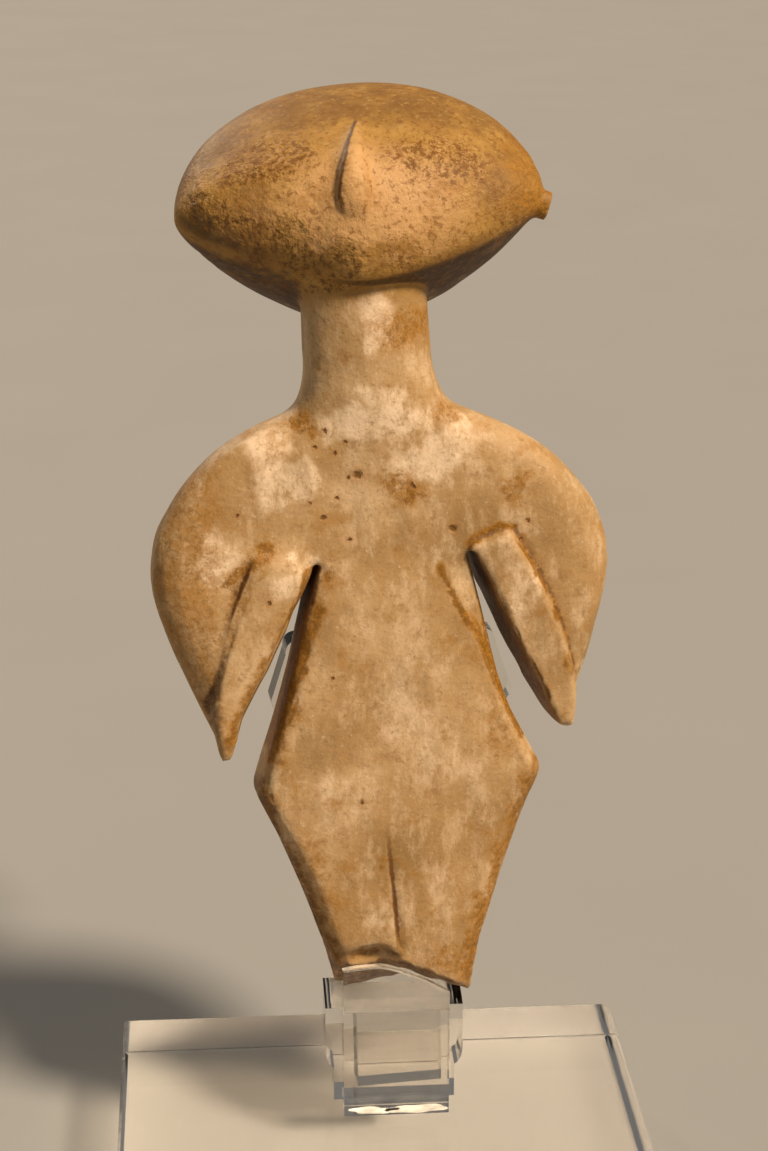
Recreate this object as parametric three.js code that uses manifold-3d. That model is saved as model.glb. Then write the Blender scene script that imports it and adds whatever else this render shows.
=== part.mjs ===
// Marble "stargazer" figurine (Kiliya type) held in a clear acrylic mount.
// Millimetres, +Z up. The origin is the centre of the base plate's underside and the
// figure faces -Y. The figurine is modelled in a frame of its own (x across the body,
// z along it, -y out of the chest, z = 0 at the broken foot end) and then set, leaning
// a little back, on the seat of the mount.
import * as THREE from 'three';
import { mergeVertices } from 'three/addons/utils/BufferGeometryUtils.js';
import Module from 'manifold-3d';

const wasm = await Module();
wasm.setup();

// ---------------------------------------------------------------- driving sizes
const GAP = 0.3; // air left between pieces that touch

// body plan, half widths (x) and heights (z)
const HIP = { x: 21.3, z: 32.5 };
const SLIT_TOP = { x: 10.9, z: 66.5 };
const ELBOW = { x: 25.2, z: 38.6 };
const SHOULDER = { centreX: 6, centreZ: 64, radiusX: 27.4, radiusZ: 24.9, drop: 1.5 };
const NECK = { x: 9.1, z: 95, topX: 8.7, topZ: 108, halfDepth: 7.2 };

// thicknesses, all measured from the body's middle plane
const CHEST_HALF = 5.3;
const ELBOW_HALF = 4.4;
const HIP_HALF = 5.1;
const FOOT_HALF = 4.5;
const EDGE_ROUND = 5.5; // how far the shoulders' and arms' rounded edge reaches in
const EDGE_FLAT = 0.9; // half height of the flat left at that edge
// share of the kite's half thickness that is upright side wall: the bevels fade out upwards
const SIDE_WALL = [[HIP.z, 0.6], [52, 0.66], [60, 0.8], [67, 0.96]];

// forearms
const FOREARM_RISE = 1.4;
const FOREARM_BEVEL = 0.9;

// head: a lens tilted back, lateral half width, chin and crown lengths, two bulges
const HEAD = {
  halfWidth: 26.4, chin: 13.6, crown: 25.1, faceBulge: 11.2, backBulge: 20,
  centreX: -0.5, centreY: 2, centreZ: 115.8, tiltDeg: 54, yawDeg: -6.5, rollDeg: 1.2, wear: 0.1,
};

// pose of the figurine in the mount
const LEAN_BACK_DEG = 5;
const LEAN_SIDE_DEG = 2;
const YAW_DEG = 5.6;
const FIGURE = { x: 4.1, y: 8.2 }; // where the middle of its broken end stands

// acrylic mount
const PLATE = { width: 79, depth: 60, height: 15, edge: 0.5 };
const MOUNT_X = 2.3; // the mount stands a little right of the plate's middle
const LIP = { width: 15.8, thick: 4.5, left: 24.6, peak: 25.2, peakX: -2.2, right: 20.6, drop: 1.9 };
const LIP_FRONT_Y = -1.6;
const SEAT = { width: 20.8, top: 15.8, rise: 0.7, headBottom: 6.3, stem: 18.3, depth: 8.1, corner: 2.4 };

// ---------------------------------------------------------------- solids
function signedVolume(geometry) {
  const p = geometry.getAttribute('position');
  const index = geometry.getIndex();
  const [a, b, c] = [new THREE.Vector3(), new THREE.Vector3(), new THREE.Vector3()];
  let volume = 0;
  for (let i = 0; i < index.count; i += 3) {
    a.fromBufferAttribute(p, index.getX(i));
    b.fromBufferAttribute(p, index.getX(i + 1));
    c.fromBufferAttribute(p, index.getX(i + 2));
    volume += a.dot(b.cross(c)) / 6;
  }
  return volume;
}

function toSolid(geometry) {
  const bare = geometry.clone();
  bare.deleteAttribute('normal');
  bare.deleteAttribute('uv');
  const merged = mergeVertices(bare, 1e-4);
  const triVerts = Uint32Array.from(merged.getIndex().array);
  if (signedVolume(merged) < 0) triVerts.reverse();
  return new wasm.Manifold(new wasm.Mesh({
    numProp: 3,
    vertProperties: Float32Array.from(merged.getAttribute('position').array),
    triVerts,
  }));
}

function toGeometry(solid) {
  const mesh = solid.getMesh();
  const geometry = new THREE.BufferGeometry();
  geometry.setAttribute('position', new THREE.BufferAttribute(mesh.vertProperties, 3));
  geometry.setIndex(new THREE.BufferAttribute(mesh.triVerts, 1));
  return geometry;
}

// a closed skin over rings of equally many points, each end closed by a fan
function loft(rings) {
  const n = rings[0].length;
  const points = rings.flat();
  const faces = [];
  for (let r = 0; r + 1 < rings.length; r += 1) {
    for (let i = 0; i < n; i += 1) {
      const a = r * n + i;
      const b = r * n + ((i + 1) % n);
      faces.push(a, b, a + n, b, b + n, a + n);
    }
  }
  for (const [start, flip] of [[0, true], [(rings.length - 1) * n, false]]) {
    const middle = new THREE.Vector3();
    for (let i = 0; i < n; i += 1) middle.addScaledVector(points[start + i], 1 / n);
    points.push(middle);
    const tip = points.length - 1;
    for (let i = 0; i < n; i += 1) {
      const a = start + i;
      const b = start + ((i + 1) % n);
      if (flip) faces.push(b, a, tip);
      else faces.push(a, b, tip);
    }
  }
  const geometry = new THREE.BufferGeometry().setFromPoints(points);
  geometry.setIndex(faces);
  return geometry;
}

const lerp = THREE.MathUtils.lerp;
const smoothstep = THREE.MathUtils.smoothstep;

// value of a chain of [key, value] stations at key k
function along(stations, k) {
  for (let i = 0; i + 1 < stations.length; i += 1) {
    const [k0, v0] = stations[i];
    const [k1, v1] = stations[i + 1];
    if (k <= k1) return lerp(v0, v1, Math.max(0, (k - k0) / (k1 - k0)));
  }
  return stations[stations.length - 1][1];
}

function smoothMax(a, b, width) {
  const h = Math.max(width - Math.abs(a - b), 0) / width;
  return Math.max(a, b) + (h * h * width) / 4;
}

// ---------------------------------------------------------------- kite-shaped body
// Straight-edged torso and legs: flat front and back, bevelled arrises, upright sides.
const KITE_TOP = 71;
const KITE_WIDTH = [
  [-4, 9.2], [3, 10.8], [10, 12.8], [18, 15.5], [26, 18.4], [HIP.z, HIP.x], [39, 18.6],
  [44, 16.7], [50, 14.9], [56.5, 13.4], [SLIT_TOP.z, SLIT_TOP.x], [KITE_TOP, 9],
];
const KITE_BEVEL = [
  [-4, 2.2], [18, 2.9], [HIP.z - 3, 2], [HIP.z + 4, 1.1], [46, 0.9], [56, 2.2], [SLIT_TOP.z, 3.6],
];
const KITE_HALF = [[-4, FOOT_HALF], [HIP.z, HIP_HALF], [66, CHEST_HALF], [KITE_TOP, 4.9]];
const KITE_CROWN = [[60, 0.35], [66, 0.08], [KITE_TOP, 0]];
// sideways drift of the middle line: of the body below the slits' tops, and of the arms,
// shoulders and neck
const BODY_SWAY = [
  [-4, -0.5], [10, 0], [HIP.z, 0.5], [39, 0.1], [44, 0], [50, 0.3], [56.5, 0.6], [66, 0.9],
];
const ARM_SWAY = [[40, 0.4], [52, 0.2], [64, -0.2], [73, -0.6], [84, -0.5], [100, -0.8]];

// height of the broken end at a point of the section: the break climbs from the right
// front corner to the left, and its back edge hangs lower than its front edge
function breakHeight(x, y) {
  const front = along([[-10.5, 3.4], [-5, 6.2], [-1, 4.3], [7.6, -0.4], [9, -2.9]], x);
  const back = along([[-11, -1.6], [-7, -0.4], [10, -0.8]], x);
  return lerp(front, back, smoothstep(y, -FOOT_HALF, FOOT_HALF * 0.7));
}

function kiteRing(z, height) {
  const w = along(KITE_WIDTH, z);
  const bevel = along(KITE_BEVEL, z);
  const half = along(KITE_HALF, z);
  const wall = half * along(SIDE_WALL, z);
  const steps = 6;
  const ring = [];
  for (const side of [-1, 1]) {
    for (let i = 0; i <= steps; i += 1) {
      const x = side * lerp(w - bevel, -(w - bevel), i / steps);
      const crown = along(KITE_CROWN, z) * (1 - (x / (w - bevel)) ** 2);
      ring.push(new THREE.Vector3(x, side * (half + crown), 0));
    }
    ring.push(new THREE.Vector3(-side * w, side * wall, 0));
    ring.push(new THREE.Vector3(-side * w, -side * wall, 0));
  }
  for (const p of ring) {
    p.z = height ? height(p.x, p.y) : z;
    p.x += along(BODY_SWAY, z);
  }
  return ring;
}

function kite() {
  const stations = [8, 13, 18, 22, 26, 29.5, HIP.z, 36, 42, 48, 54, 60, 66, KITE_TOP];
  const rings = [kiteRing(0, breakHeight), ...stations.map((z) => kiteRing(z))];
  return toSolid(loft(rings));
}

// ---------------------------------------------------------------- shoulders, arms, neck
// right-hand outline, from below the elbow up the arm, over the shoulder, up the neck
function yokeOutline() {
  const arc = Math.PI * 0.42;
  const path = new THREE.Path();
  path.moveTo(ELBOW.x - 1.4, ELBOW.z - 2);
  path.lineTo(ELBOW.x, ELBOW.z);
  path.quadraticCurveTo(32.2, 54.5, SHOULDER.centreX + SHOULDER.radiusX, SHOULDER.centreZ);
  path.absellipse(SHOULDER.centreX, SHOULDER.centreZ, SHOULDER.radiusX, SHOULDER.radiusZ, 0, arc);
  path.quadraticCurveTo(9.7, 89, NECK.x, NECK.z);
  path.lineTo(NECK.topX, NECK.topZ);
  return path.getSpacedPoints(160);
}

const OUTLINE = yokeOutline();

function yokeWidth(z) {
  return along(OUTLINE.map((p) => [p.y, p.x]), z);
}

function edgeDistance(x, z) {
  let best = Infinity;
  for (const p of OUTLINE) best = Math.min(best, Math.hypot(p.x - Math.abs(x), p.y - z));
  return best;
}

function yokeHalf(x, z) {
  const plate = along([[ELBOW.z, ELBOW_HALF], [60, CHEST_HALF], [90, CHEST_HALF]], z);
  const reach = Math.min(edgeDistance(x, z) / EDGE_ROUND, 1);
  const rounded = EDGE_FLAT + (plate - EDGE_FLAT) * Math.sqrt(1 - (1 - reach) ** 2);
  const neckWidth = z > 90 ? yokeWidth(z) : yokeWidth(90) + (90 - z) * 0.3;
  const neckDepth = along([[74, 3.4], [82, 5.6], [90, NECK.halfDepth], [NECK.topZ, 7]], z);
  const neck = neckDepth * Math.sqrt(Math.max(0, 1 - (x / neckWidth) ** 2));
  return smoothMax(rounded, neck, 1.6);
}

function yokeRing(z) {
  const w = yokeWidth(z);
  const perHalf = 10;
  const ring = [];
  for (const side of [-1, 1]) {
    for (let i = -perHalf; i <= perHalf; i += 1) {
      const x = -side * w * Math.sin((i / perHalf) * Math.PI * 0.5);
      const drop = SHOULDER.drop * smoothstep(x, 3, 22) * smoothstep(z, 66, 86) * smoothstep(-z, -97, -90);
      ring.push(new THREE.Vector3(x + along(ARM_SWAY, z), side * yokeHalf(x, z), z - drop));
    }
  }
  return ring;
}

function yoke() {
  const rings = [];
  for (let z = ELBOW.z - 1.6; z < 82; z += 2.6) rings.push(yokeRing(z));
  for (let z = 83; z < 90; z += 0.9) rings.push(yokeRing(z));
  for (let z = 90.5; z <= NECK.topZ; z += 3.2) rings.push(yokeRing(z));
  return toSolid(loft(rings));
}

// raised forearm: a strip from the hand end on the chest down to the elbow
function forearm(side) {
  const shape = new THREE.Shape();
  shape.moveTo(SLIT_TOP.x + 1.6, SLIT_TOP.z);
  shape.lineTo(SLIT_TOP.x + 2.3, SLIT_TOP.z + 1.1);
  shape.lineTo(17.9, 68.6);
  shape.quadraticCurveTo(23.6, 59.5, 26.2, 46);
  shape.lineTo(ELBOW.x + 0.2, ELBOW.z + 1.2);
  shape.lineTo(22.2, 40.4);
  shape.closePath();
  const depth = CHEST_HALF + FOREARM_RISE - FOREARM_BEVEL;
  const geometry = new THREE.ExtrudeGeometry(shape, {
    depth, steps: 1, bevelThickness: FOREARM_BEVEL, bevelSize: FOREARM_BEVEL,
    bevelSegments: 2, curveSegments: 8,
  });
  const p = geometry.getAttribute('position');
  for (let i = 0; i < p.count; i += 1) {
    const [x, z, out] = [p.getX(i), p.getY(i), p.getZ(i)];
    const sink = ((69 - z) / 30) * 0.9;
    const y = out > depth * 0.5 ? -(out - sink) : -Math.max(out, 0.5);
    p.setXYZ(i, side * x + along(ARM_SWAY, z), y, z);
  }
  return toSolid(geometry);
}

// The gap between the arms and the body, as the space to take away: everything between
// the two arms' inner walls below the chest. The walls lean, wide in front.
function armGap() {
  const front = [
    [9, 66], [SLIT_TOP.x + 0.6, 67.4], [14.6, 60.5], [18.8, 51.5], [21.6, 46], [23.2, 42],
    [24.6, 39], [28, 37.4], [28, 33],
  ];
  const back = [
    [9, 66], [SLIT_TOP.x + 0.2, 67], [13.4, 60.5], [17.3, 51.5], [20.2, 46], [22.2, 42],
    [23.8, 39], [27.5, 37.4], [27.5, 33],
  ];
  const reach = [-12, 12];
  const [frontY, backY] = [-6, 5];
  const rings = reach.map((y) => {
    const half = front.map(([fx, fz], i) => {
      const t = (y - frontY) / (backY - frontY);
      return new THREE.Vector3(lerp(fx, back[i][0], t), y, lerp(fz, back[i][1], t));
    });
    const mirrored = half.map((p) => new THREE.Vector3(-p.x, p.y, p.z)).reverse();
    const ring = [...mirrored, ...half];
    for (const p of ring) p.x += along(BODY_SWAY, p.z);
    return ring;
  });
  return toSolid(loft(rings));
}

// ---------------------------------------------------------------- head
// how far a direction points down and to the figure's right, 0 to 1: the rim is worn back there
function wornSide(angle) {
  return Math.cos(angle) < 0 && Math.sin(angle) < 0 ? Math.sin(2 * angle) ** 2 : 0;
}

// in-plane radius of the lens in direction angle: pointed towards the chin, round behind
function rimRadius(angle) {
  const chinSide = Math.sin(angle) < 0;
  const power = chinSide ? 1.5 : 2.15;
  const length = chinSide ? HEAD.chin : HEAD.crown;
  const across = Math.abs(Math.cos(angle) / HEAD.halfWidth) ** power;
  const down = Math.abs(Math.sin(angle) / length) ** power;
  return (across + down) ** (-1 / power) * (1 - HEAD.wear * wornSide(angle));
}

function headFrame() {
  const turn = new THREE.Euler(
    THREE.MathUtils.degToRad(90 - HEAD.tiltDeg),
    THREE.MathUtils.degToRad(-HEAD.rollDeg),
    THREE.MathUtils.degToRad(HEAD.yawDeg),
    'ZYX',
  );
  return new THREE.Matrix4()
    .makeTranslation(HEAD.centreX, HEAD.centreY, HEAD.centreZ)
    .multiply(new THREE.Matrix4().makeRotationFromEuler(turn));
}

// lens in its own frame: x across, y from chin to crown, z out of the face
// the face is a shallow dome; behind the rim the skull is rounder, most so where it is worn
function lensHeight(share, face, angle = 0) {
  const fall = Math.max(0, 1 - share * share);
  if (face) return HEAD.faceBulge * fall ** 0.6;
  const under = smoothstep(-Math.sin(angle), -0.4, 0.4);
  return HEAD.backBulge * fall ** lerp(lerp(0.72, 1, under), 0.66, wornSide(angle));
}

function head() {
  const geometry = new THREE.SphereGeometry(1, 44, 26);
  geometry.rotateX(Math.PI / 2);
  const p = geometry.getAttribute('position');
  for (let i = 0; i < p.count; i += 1) {
    const [x, y, z] = [p.getX(i), p.getY(i), p.getZ(i)];
    const share = Math.min(Math.hypot(x, y), 1);
    const angle = Math.atan2(y, x);
    const radius = rimRadius(angle) * share;
    const height = Math.sign(z) * lensHeight(share, z > 0, angle);
    p.setXYZ(i, radius * Math.cos(angle), radius * Math.sin(angle), height);
  }
  geometry.applyMatrix4(headFrame());
  return toSolid(geometry);
}

// height of the face's surface above the lens plane, on its middle line
function faceHeight(y) {
  return lensHeight(Math.abs(y) / (y < 0 ? HEAD.chin : HEAD.crown), true);
}

// nose: a long thin wedge, narrow at the brow, wide at its foot, its left side steep
function nose() {
  const [top, bottom] = [6.6, -9];
  const lift = [[bottom, 0.1], [-6.5, 1.3], [-3, 1.8], [3, 1.3], [top, 0]];
  const rings = [];
  const count = 8;
  for (let i = 0; i <= count; i += 1) {
    const y = lerp(bottom, top, i / count);
    const half = along([[bottom, 1], [-7.6, 1.6], [-5.5, 1.8], [top, 0.3]], y);
    const surface = faceHeight(y);
    const crest = surface + along(lift, y);
    const middle = along([[bottom, -0.7], [-5.5, -0.8], [top, 0.6]], y);
    rings.push([
      new THREE.Vector3(middle - half, y, surface - 2),
      new THREE.Vector3(middle + half * 1.4, y, surface - 2),
      new THREE.Vector3(middle + half * 1.2, y, surface - 0.1),
      new THREE.Vector3(middle + half * 0.3, y, crest),
      new THREE.Vector3(middle - half * 0.8, y, crest),
    ]);
  }
  return toSolid(loft(rings).applyMatrix4(headFrame()));
}

// ear lug on the figure's left (the viewer's right): a short flared knob
function earLug() {
  const lug = new THREE.CylinderGeometry(2.2, 1.9, 3.4, 14);
  lug.scale(0.75, 1, 1);
  lug.rotateZ(-Math.PI / 2);
  lug.rotateY(THREE.MathUtils.degToRad(20));
  lug.translate(HEAD.halfWidth - 1.2, 0, -0.8);
  const tilt = THREE.MathUtils.degToRad(HEAD.tiltDeg - 90);
  lug.applyMatrix4(headFrame().multiply(new THREE.Matrix4().makeRotationX(tilt)));
  return toSolid(lug);
}

// ---------------------------------------------------------------- carved and broken places
// the incised line that parts the legs: a V-shaped furrow
function legLine() {
  const [top, bottom] = [new THREE.Vector2(-1.6, 31), new THREE.Vector2(-0.8, 5)];
  const rings = [top, bottom].map((end, i) => {
    const surface = -(along(KITE_HALF, end.y) + 0.35);
    const depth = i === 0 ? 0.25 : 0.8;
    return [
      new THREE.Vector3(end.x - 0.55, surface - 0.4, end.y),
      new THREE.Vector3(end.x + 0.55, surface - 0.4, end.y),
      new THREE.Vector3(end.x, surface + depth, end.y),
    ];
  });
  return toSolid(loft(rings));
}

// the shell-shaped chip out of the front edge of the break
function breakChip() {
  const chip = new THREE.SphereGeometry(1, 14, 10);
  chip.scale(4.2, 1.9, 2.6);
  chip.translate(-5.2, -FOOT_HALF - 0.5, 4.8);
  return toSolid(chip);
}

function figurineSolid() {
  let solid = yoke().add(forearm(1)).add(forearm(-1)).subtract(armGap());
  solid = solid.add(kite()).add(head()).add(nose()).add(earLug());
  return solid.subtract(legLine()).subtract(breakChip());
}

// ---------------------------------------------------------------- acrylic mount
function clearAcrylic() {
  return new THREE.MeshStandardMaterial({
    color: 0xdfe6e4, roughness: 0.05, metalness: 0, transparent: true, opacity: 0.3,
  });
}

function basePlate() {
  const shape = new THREE.Shape();
  const [hw, hd] = [PLATE.width / 2 - PLATE.edge, PLATE.depth / 2 - PLATE.edge];
  shape.moveTo(-hw, -hd);
  shape.lineTo(hw, -hd);
  shape.lineTo(hw, hd);
  shape.lineTo(-hw, hd);
  shape.closePath();
  const geometry = new THREE.ExtrudeGeometry(shape, {
    depth: PLATE.height - 2 * PLATE.edge, steps: 1, bevelThickness: PLATE.edge,
    bevelSize: PLATE.edge, bevelSegments: 1,
  });
  geometry.translate(0, 0, PLATE.edge);
  return toGeometry(toSolid(geometry));
}

// stands an x-z profile up with its front face at y = 0 and the given thickness behind
function upright(shape, thick, curveSegments = 12) {
  const geometry = new THREE.ExtrudeGeometry(shape, {
    depth: thick, steps: 1, bevelEnabled: false, curveSegments,
  });
  geometry.rotateX(Math.PI / 2);
  geometry.translate(0, thick, 0);
  return geometry;
}

function frontLip() {
  const half = LIP.width / 2;
  const shape = new THREE.Shape();
  shape.moveTo(-half, 0);
  shape.lineTo(half, 0);
  shape.lineTo(half, LIP.right);
  shape.quadraticCurveTo(1.5, LIP.peak - 0.6, LIP.peakX, LIP.peak);
  shape.quadraticCurveTo(-5.5, LIP.peak, -half, LIP.left);
  shape.closePath();
  const geometry = upright(shape, LIP.thick);
  const p = geometry.getAttribute('position');
  for (let i = 0; i < p.count; i += 1) {
    // the top edge falls away towards the back, under the broken end
    if (p.getY(i) > 0 && p.getZ(i) > SEAT.top) p.setZ(i, p.getZ(i) - LIP.drop);
  }
  return toGeometry(toSolid(geometry));
}

// a block with a wider head; the head's lower corners are rounded
function seatBlock() {
  const [half, stem, r] = [SEAT.width / 2, SEAT.stem / 2, SEAT.corner];
  const shape = new THREE.Shape();
  shape.moveTo(-stem, 0);
  shape.lineTo(stem, 0);
  shape.lineTo(stem, SEAT.headBottom - 0.8);
  shape.quadraticCurveTo(half, SEAT.headBottom - 0.2, half, SEAT.headBottom + r);
  shape.lineTo(half, SEAT.top);
  shape.lineTo(-half, SEAT.top);
  shape.lineTo(-half, SEAT.headBottom + r);
  shape.quadraticCurveTo(-half, SEAT.headBottom - 0.2, -stem, SEAT.headBottom - 0.8);
  shape.closePath();
  const geometry = upright(shape, SEAT.depth);
  const p = geometry.getAttribute('position');
  for (let i = 0; i < p.count; i += 1) {
    // the top climbs towards the back, to meet the broken end
    if (p.getY(i) > 0 && p.getZ(i) >= SEAT.top) p.setZ(i, p.getZ(i) + SEAT.rise);
  }
  return toGeometry(toSolid(geometry));
}

// upright plate that widens behind the waist, sheared back to lie along the body
const REST = {
  stem: 13, thick: 4, neckZ: 51, lowZ: 58.6, topZ: 69.9, lowHalf: 18.2, topHalf: 15.9,
  corner: 2.2, behindSeat: 1.05, offset: 1.2,
};

function backRest() {
  const s = REST.stem / 2;
  const r = REST.corner;
  const shape = new THREE.Shape();
  shape.moveTo(-s, 0);
  shape.lineTo(s, 0);
  shape.lineTo(s, REST.neckZ);
  shape.quadraticCurveTo(s + 1, REST.lowZ - 2, REST.lowHalf - r, REST.lowZ - 0.5);
  shape.quadraticCurveTo(REST.lowHalf, REST.lowZ, REST.lowHalf, REST.lowZ + r);
  shape.lineTo(REST.topHalf, REST.topZ - r);
  shape.quadraticCurveTo(REST.topHalf, REST.topZ, REST.topHalf - r, REST.topZ);
  shape.lineTo(-(REST.topHalf - r), REST.topZ);
  shape.quadraticCurveTo(-REST.topHalf, REST.topZ, -REST.topHalf, REST.topZ - r);
  shape.lineTo(-REST.lowHalf, REST.lowZ + r);
  shape.quadraticCurveTo(-REST.lowHalf, REST.lowZ, -(REST.lowHalf - r), REST.lowZ - 0.5);
  shape.quadraticCurveTo(-(s + 1), REST.lowZ - 2, -s, REST.neckZ);
  shape.closePath();
  const geometry = upright(shape, REST.thick, 8);
  const lean = Math.tan(THREE.MathUtils.degToRad(LEAN_BACK_DEG));
  const p = geometry.getAttribute('position');
  for (let i = 0; i < p.count; i += 1) p.setY(i, p.getY(i) + p.getZ(i) * lean);
  return toGeometry(toSolid(geometry));
}

// ---------------------------------------------------------------- assembly
function named(name, geometry, material) {
  const mesh = new THREE.Mesh(geometry, material);
  mesh.name = name;
  return mesh;
}

// turns of the figurine, and the lift that sets its lowest point just above the seat
function figurine() {
  const marble = new THREE.MeshStandardMaterial({ color: 0xc9a06a, roughness: 0.55, metalness: 0 });
  const mesh = named('figurine', toGeometry(figurineSolid()), marble);
  mesh.rotation.set(
    THREE.MathUtils.degToRad(-LEAN_BACK_DEG),
    THREE.MathUtils.degToRad(-LEAN_SIDE_DEG),
    THREE.MathUtils.degToRad(YAW_DEG),
    'ZXY',
  );
  mesh.updateMatrix();
  const turned = mesh.geometry.clone().applyMatrix4(mesh.matrix);
  turned.computeBoundingBox();
  const seatTop = PLATE.height + GAP + SEAT.top;
  mesh.position.set(
    FIGURE.x, FIGURE.y, seatTop + GAP - turned.boundingBox.min.z,
  );
  return mesh;
}

const model = new THREE.Group();
const plateTop = PLATE.height + GAP;
const seatFrontY = LIP_FRONT_Y + LIP.thick + GAP;
const plate = named('base_plate', basePlate(), clearAcrylic());
const lip = named('front_lip', frontLip(), clearAcrylic());
lip.position.set(MOUNT_X, LIP_FRONT_Y, plateTop);
const seat = named('seat_block', seatBlock(), clearAcrylic());
seat.position.set(MOUNT_X, seatFrontY, plateTop);
const rest = named('back_rest', backRest(), clearAcrylic());
rest.position.set(MOUNT_X + REST.offset, seatFrontY + SEAT.depth + REST.behindSeat, plateTop);
rest.rotation.z = THREE.MathUtils.degToRad(YAW_DEG);
model.add(figurine(), lip, seat, rest, plate);

export default model;
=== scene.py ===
import math

import bpy
import numpy as np
from mathutils import Euler, Matrix, Vector


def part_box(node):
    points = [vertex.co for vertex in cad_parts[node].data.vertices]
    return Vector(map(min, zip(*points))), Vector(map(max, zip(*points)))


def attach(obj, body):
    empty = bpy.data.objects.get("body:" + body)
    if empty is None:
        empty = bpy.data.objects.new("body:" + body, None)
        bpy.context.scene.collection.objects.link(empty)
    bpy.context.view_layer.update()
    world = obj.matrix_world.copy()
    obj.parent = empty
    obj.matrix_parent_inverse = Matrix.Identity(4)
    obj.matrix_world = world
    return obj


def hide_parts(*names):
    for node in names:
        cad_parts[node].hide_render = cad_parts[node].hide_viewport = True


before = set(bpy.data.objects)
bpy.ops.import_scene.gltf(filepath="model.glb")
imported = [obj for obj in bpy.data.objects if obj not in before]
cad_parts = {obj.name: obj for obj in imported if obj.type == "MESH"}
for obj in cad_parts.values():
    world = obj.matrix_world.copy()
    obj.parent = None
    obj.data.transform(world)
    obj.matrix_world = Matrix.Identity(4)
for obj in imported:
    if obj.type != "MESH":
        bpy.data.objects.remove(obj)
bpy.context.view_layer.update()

# ------------------------------------------------------------------------------------
# Figurine. One piece of white marble, ground to shape with abrasives and once polished.
# The head is a lens tilted to the sky, the arms are folded with the forearms raised and
# cut free of the body, and the legs are snapped off. Burial has stained it honey-brown.
# ------------------------------------------------------------------------------------
MM = 0.001
VOXEL = 0.31 * MM
MOST_TRIANGLES = 192000
LEAN_BACK, LEAN_SIDE, TURN = math.radians(5), math.radians(2), math.radians(5.6)
HEAD_TILT, HEAD_ROLL, HEAD_TURN = math.radians(36), math.radians(-1.2), math.radians(-6.5)
# in mm: where the body's own axes start, 2.03 mm above the lowest point of the break, and where
# the head's own axes start on the body's
FOOT_AT = np.array([4.1, 8.2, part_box("figurine")[0][2] / MM + 2.03])
HEAD_AT = np.array([-0.5, 2.0, 115.8])
# the head begins where the neck ends, along a plane that falls by this much towards the back
NECK_SLANT = 0.35
BODY_AXES = np.array(
    Matrix.Rotation(TURN, 3, "Z") @ Matrix.Rotation(-LEAN_BACK, 3, "X")
    @ Matrix.Rotation(-LEAN_SIDE, 3, "Y")
)
HEAD_AXES = np.array(
    Matrix.Rotation(HEAD_TURN, 3, "Z") @ Matrix.Rotation(HEAD_ROLL, 3, "Y")
    @ Matrix.Rotation(HEAD_TILT, 3, "X")
)


def on_axes(points):
    """Points in metres to mm on the body's own axes (x across, -y out of the chest, z up) and on
    the head's (x across, y from chin to crown, z out of the face)."""
    body = (points / MM - FOOT_AT) @ BODY_AXES
    return body, (body - HEAD_AT) @ HEAD_AXES


def step(none, full, value):
    """0 up to none, 1 from full on, smooth between. It falls where none is the higher one."""
    t = np.clip((value - none) / (full - none), 0, 1)
    return t * t * (3 - 2 * t)


def band(value, start, end):
    """1 between two levels, each given as (none, full), and 0 outside them."""
    return step(*start, value) * step(*end, value)


def lumps(points, size, seed):
    """Smooth random field from -1 to 1 over points in mm, with lumps about size across."""
    dice = np.random.default_rng(seed)
    table = dice.uniform(-1, 1, (32, 32, 32))
    turned = np.linalg.qr(dice.normal(size=(3, 3)))[0]
    q = points @ turned / size
    cell = np.floor(q).astype(int)
    f = q - cell
    f = f * f * (3 - 2 * f)
    total = np.zeros(len(points))
    for corner in range(8):
        pick = np.array([corner & 1, corner >> 1 & 1, corner >> 2 & 1])
        weight = np.prod(np.where(pick == 1, f, 1 - f), axis=1)
        i, j, k = ((cell + pick) % 32).T
        total += weight * table[i, j, k]
    return total


def waves(points, layers):
    """Lumps of several sizes added up. A layer is its size in mm, its height and its seed."""
    return sum(height * lumps(points, size, seed) for size, height, seed in layers)


def line_distance(x, z, line):
    """Distance in mm from each (x, z) to a chain of straight pieces."""
    best = np.full(x.shape, 1e9)
    for (x0, z0), (x1, z1) in zip(line, line[1:]):
        dx, dz = x1 - x0, z1 - z0
        t = np.clip(((x - x0) * dx + (z - z0) * dz) / (dx * dx + dz * dz), 0, 1)
        best = np.minimum(best, np.hypot(x - x0 - t * dx, z - z0 - t * dz))
    return best


def near(x, z, line, none, full):
    """1 within full mm of a line, fading to 0 at none mm from it."""
    return step(none, full, line_distance(x, z, line))


def across_at(z, line):
    """The x of a line that runs from its top down, at each height z."""
    rising = line[::-1]
    return np.interp(z, [p[1] for p in rising], [p[0] for p in rising])


def right_of(x, z, line):
    """How far right of a line that runs from its top down each (x, z) lies, in mm."""
    return x - across_at(z, line)


def patch(x, z, middle, reach, share=1):
    """An oval patch: its share at the middle, fading to 0 at its reach."""
    return share * (1 - step(0.35, 1, np.hypot((x - middle[0]) / reach[0], (z - middle[1]) / reach[1])))


def patches(x, z, ovals):
    """The strongest of several patches at each (x, z), each given as patch() takes it."""
    return np.maximum.reduce([patch(x, z, *oval) for oval in ovals])


def relax(points, edges, share, rounds):
    """Moves each point towards the middle of its neighbours, by its share, again and again."""
    a, b = edges.T
    count = np.bincount(edges.ravel(), minlength=len(points))
    share = np.broadcast_to(share, len(points))[:, None]
    for _ in range(rounds):
        middle = np.empty_like(points)
        for axis in range(3):
            v = points[:, axis]
            total = np.bincount(a, v[b], len(v)) + np.bincount(b, v[a], len(v))
            middle[:, axis] = total / count
        points = points + (middle - points) * share
    return points


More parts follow.
